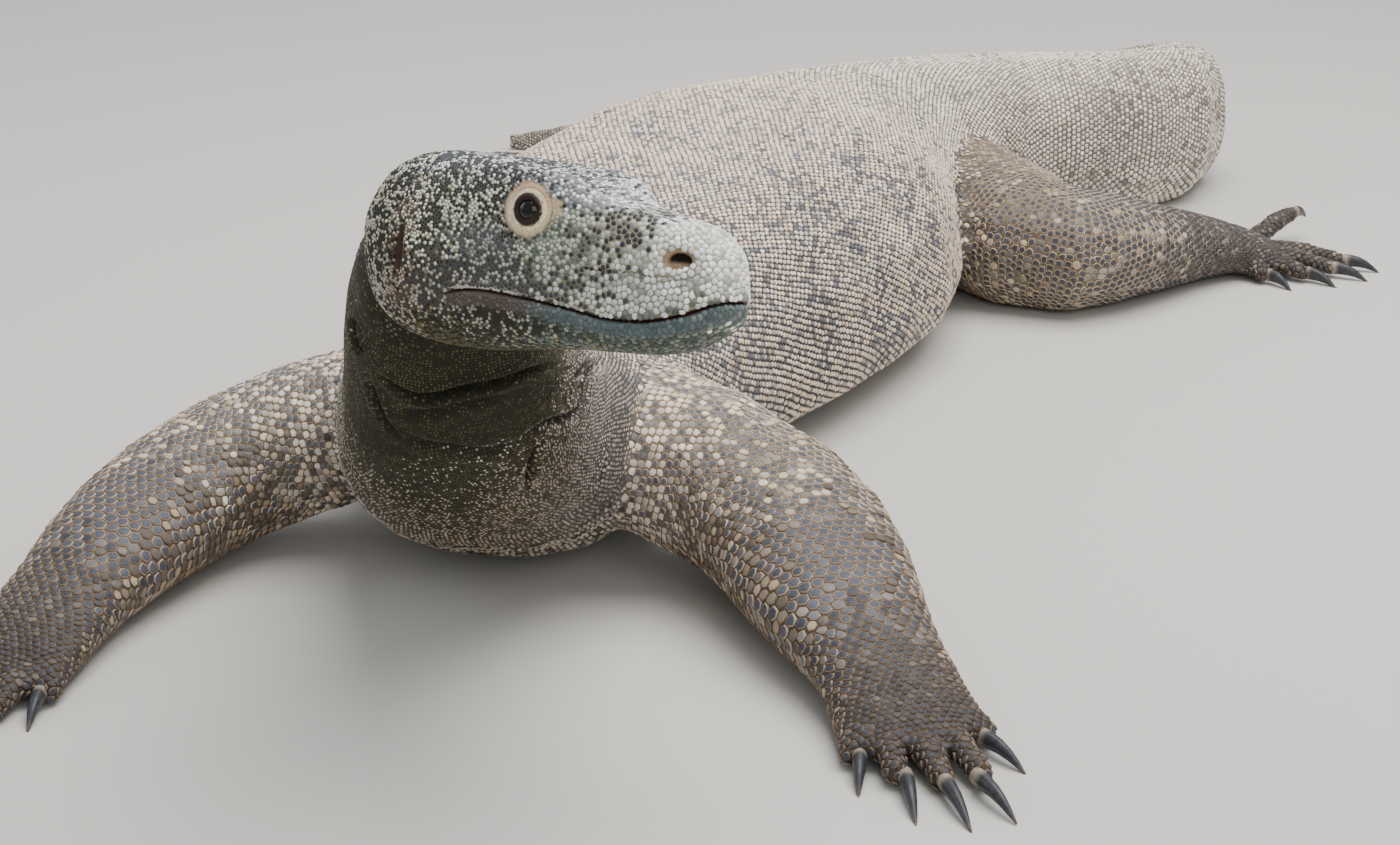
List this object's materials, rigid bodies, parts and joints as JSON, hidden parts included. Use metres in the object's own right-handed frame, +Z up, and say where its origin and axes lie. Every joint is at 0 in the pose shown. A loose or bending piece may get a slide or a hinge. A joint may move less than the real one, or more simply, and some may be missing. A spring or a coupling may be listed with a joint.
{
  "type": "komodo dragon model",
  "caption": "Life-size still model of a large monitor lizard lying on its belly, head raised and turned, tail curled behind it.",
  "frame": {"origin": "on the ground under the middle of the trunk, inside the belly's flat", "axes": "+Z up, the animal faces -Y along its trunk, +X to its left"},
  "size_m": [0.9662, 1.6646, 0.3814],
  "materials": {
    "hide_trunk": "dry beaded scales, beige on slate",
    "hide_limb": "dry plate scales, slate with tan edges",
    "hide_head": "satin scales, slate blue with cream edges",
    "claw": "glossy horn, near black",
    "eye": "wet, dark brown"
  },
  "bodies": {
    "root": {"head": "hide_head", "jaw": "hide_head", "eye_left": "eye", "eye_right": "eye", "neck": "hide_trunk", "chest": "hide_trunk", "belly": "hide_trunk", "hips": "hide_trunk", "tail_1": "hide_trunk", "tail_2": "hide_trunk", "tail_3": "hide_trunk", "tail_4": "hide_trunk", "upper_arm_left": "hide_limb", "forearm_left": "hide_limb", "hand_left": "hide_limb", "claw_hand_left_1": "claw", "claw_hand_left_2": "claw", "claw_hand_left_3": "claw", "claw_hand_left_4": "claw", "claw_hand_left_5": "claw", "upper_arm_right": "hide_limb", "forearm_right": "hide_limb", "hand_right": "hide_limb", "claw_hand_right_1": "claw", "claw_hand_right_2": "claw", "claw_hand_right_3": "claw", "claw_hand_right_4": "claw", "claw_hand_right_5": "claw", "thigh_left": "hide_limb", "shin_left": "hide_limb", "foot_left": "hide_limb", "claw_foot_left_1": "claw", "claw_foot_left_2": "claw", "claw_foot_left_3": "claw", "claw_foot_left_4": "claw", "claw_foot_left_5": "claw", "thigh_right": "hide_limb", "shin_right": "hide_limb", "foot_right": "hide_limb", "claw_foot_right_1": "claw", "claw_foot_right_2": "claw", "claw_foot_right_3": "claw", "claw_foot_right_4": "claw", "claw_foot_right_5": "claw"}
  },
  "joints": []
}
